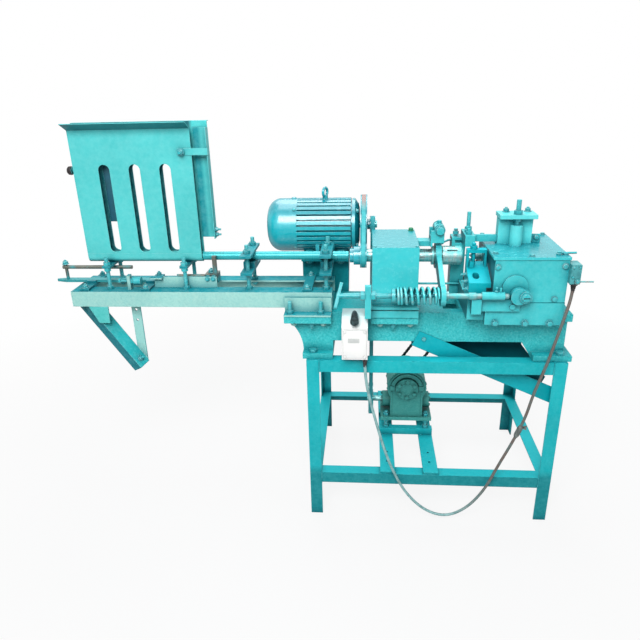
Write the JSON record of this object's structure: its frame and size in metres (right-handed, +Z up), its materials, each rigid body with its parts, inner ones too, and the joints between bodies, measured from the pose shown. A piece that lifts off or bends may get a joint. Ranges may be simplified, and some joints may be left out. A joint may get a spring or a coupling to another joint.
{
  "type": "bead making machine",
  "caption": "Floor-standing bead making machine on an angle-iron stand: stick hopper and feed table on the left, belt-driven hollow spindle, spring rod and cam box on the right.",
  "frame": {"origin": "on the floor under the middle of the machine without its cord", "axes": "+X along the spindle from the hopper towards the cam box, +Z up, the working side faces -Y"},
  "size_m": [1.646, 0.635, 1.309],
  "materials": {
    "teal_paint": "semi-gloss sprayed enamel",
    "teal_casting": "sprayed enamel over rough cast iron",
    "grey_green_casting": "dull grey-green paint over cast iron",
    "painted_steel": "oversprayed steel",
    "steel": "turned steel, part oversprayed",
    "belt_rubber": "dusty brown-black rubber",
    "cord_sheath": "dull grey-brown sheath",
    "tape": "wound insulating tape",
    "white_plastic": "matte moulded",
    "black_plastic": "matte moulded"
  },
  "bodies": {
    "frame": {"stand_legs": "teal_paint", "stand_top_rails": "teal_paint", "stand_lower_rails": "teal_paint", "bed_casting": "teal_casting", "hex_bolts": "painted_steel", "table_rails": "teal_paint", "table_clamp": "teal_paint", "table_brace": "teal_paint", "cross_straps": "teal_paint", "threaded_studs": "painted_steel", "feed_tube": "teal_paint", "hopper_front": "teal_paint", "hopper_back": "teal_paint", "hopper_trough": "teal_paint", "feed_guides": "teal_paint", "motor_housing": "teal_casting", "motor_shield": "teal_casting", "motor_fan_cover": "teal_casting", "motor_stand": "teal_paint", "headstock_base": "teal_casting", "spindle_bearings": "steel", "headstock_cover": "teal_paint", "main_belt": "belt_rubber", "feed_belt": "belt_rubber", "spring_post": "teal_paint", "push_spring": "teal_paint", "cam_box": "teal_casting", "cam_box_plates": "teal_paint", "cam_box_lid": "teal_paint", "lid_bracket": "teal_paint", "drive_chain": "steel", "tool_rest": "teal_casting", "reducer_case": "grey_green_casting", "bead_chute": "teal_paint", "switch_box": "white_plastic", "limit_switch": "black_plastic", "cord": "cord_sheath", "cord_joint": "tape"},
    "motor_shaft": {"motor_rotor": "steel", "motor_pulley": "teal_casting", "feed_pulley": "steel"},
    "spindle_unit": {"spindle": "steel", "cone_pulley": "teal_casting"},
    "sleeve": {"sliding_sleeve": "steel"},
    "fork": {"fork_lever": "teal_paint"},
    "spring_rod": {"push_rod": "painted_steel"},
    "tension_screw": {"tension_screw": "painted_steel"},
    "worm": {"worm_shaft": "steel"},
    "wheel": {"wheel_shaft": "steel"},
    "cam_shaft": {"camshaft": "steel", "eccentric_cam": "teal_paint"},
    "quill": {"drill_quill": "steel"},
    "cross_slide": {"tool_slide": "teal_paint"},
    "end_guide": {"hopper_guide": "teal_paint"},
    "pusher": {"pusher_bar": "teal_paint"},
    "stop": {"stop_screw": "painted_steel"},
    "adjuster": {"adjusting_screw": "painted_steel"},
    "handle": {"switch_handle": "black_plastic"},
    "whisker": {"limit_whisker": "steel"}
  },
  "joints": [
    {"name": "motor_turn", "type": "hinge", "parent": "frame", "child": "motor_shaft", "pos_m": [0.182, 0.055, 0.958], "axis": [1, 0, 0], "continuous": true},
    {"name": "spindle_turn", "type": "hinge", "parent": "frame", "child": "spindle_unit", "pos_m": [0.182, -0.12, 0.9], "axis": [1, 0, 0], "continuous": true},
    {"name": "worm_turn", "type": "hinge", "parent": "frame", "child": "worm", "pos_m": [0.211, 0.055, 0.2922], "axis": [1, 0, 0], "continuous": true},
    {"name": "wheel_turn", "type": "hinge", "parent": "frame", "child": "wheel", "pos_m": [0.34, 0.055, 0.3722], "axis": [0, 1, 0], "continuous": true},
    {"name": "cam_turn", "type": "hinge", "parent": "frame", "child": "cam_shaft", "pos_m": [0.641, -0.12, 0.828], "axis": [0, 1, 0], "continuous": true},
    {"name": "rod_slide", "type": "slide", "parent": "frame", "child": "spring_rod", "axis": [-1, 0, 0], "range_m": [0, 0.012], "stiffness_N_per_m": 4000, "deforming": ["push_spring"]},
    {"name": "fork_swing", "type": "hinge", "parent": "frame", "child": "fork", "pos_m": [0.41, -0.12, 0.985], "axis": [0, 1, 0], "range_deg": [0, 4.5]},
    {"name": "sleeve_slide", "type": "slide", "parent": "spindle_unit", "child": "sleeve", "axis": [-1, 0, 0], "range_m": [0, 0.0066]},
    {"name": "tension_turn", "type": "hinge", "parent": "frame", "child": "tension_screw", "pos_m": [0.2, -0.29, 0.828], "axis": [1, 0, 0], "range_deg": [-180, 180]},
    {"name": "drill_feed", "type": "slide", "parent": "frame", "child": "quill", "axis": [-1, 0, 0], "range_m": [0, 0.02]},
    {"name": "cross_feed", "type": "slide", "parent": "frame", "child": "cross_slide", "axis": [0, 1, 0], "range_m": [0, 0.018]},
    {"name": "guide_slide", "type": "slide", "parent": "frame", "child": "end_guide", "axis": [-1, 0, 0], "range_m": [0, 0.08]},
    {"name": "pusher_slide", "type": "slide", "parent": "frame", "child": "pusher", "axis": [1, 0, 0], "range_m": [0, 0.05]},
    {"name": "stop_turn", "type": "hinge", "parent": "frame", "child": "stop", "pos_m": [-0.557, -0.174, 0.833], "axis": [1, 0, 0], "range_deg": [-180, 180]},
    {"name": "adjuster_turn", "type": "hinge", "parent": "frame", "child": "adjuster", "pos_m": [0.636, -0.137, 1], "axis": [0, 0, 1], "range_deg": [-180, 180]},
    {"name": "switch_turn", "type": "hinge", "parent": "frame", "child": "handle", "pos_m": [0.158, -0.29, 0.75], "axis": [0, 1, 0], "range_deg": [-45, 45]},
    {"name": "whisker_swing", "type": "hinge", "parent": "frame", "child": "whisker", "pos_m": [0.779, -0.288, 0.871], "axis": [0, 1, 0], "range_deg": [-15, 15], "stiffness_Nm_per_rad": 0.2}
  ],
  "couplings": [
    {"joint": "spindle_turn", "follows": "motor_turn", "ratio": 2.5325},
    {"joint": "worm_turn", "follows": "motor_turn", "ratio": 0.4655},
    {"joint": "wheel_turn", "follows": "motor_turn", "ratio": 0.02328},
    {"joint": "cam_turn", "follows": "motor_turn", "ratio": 0.02328},
    {"joint": "fork_swing", "follows": "rod_slide", "rad_per_m": 6.3694},
    {"joint": "sleeve_slide", "follows": "rod_slide", "ratio": 0.5414}
  ]
}
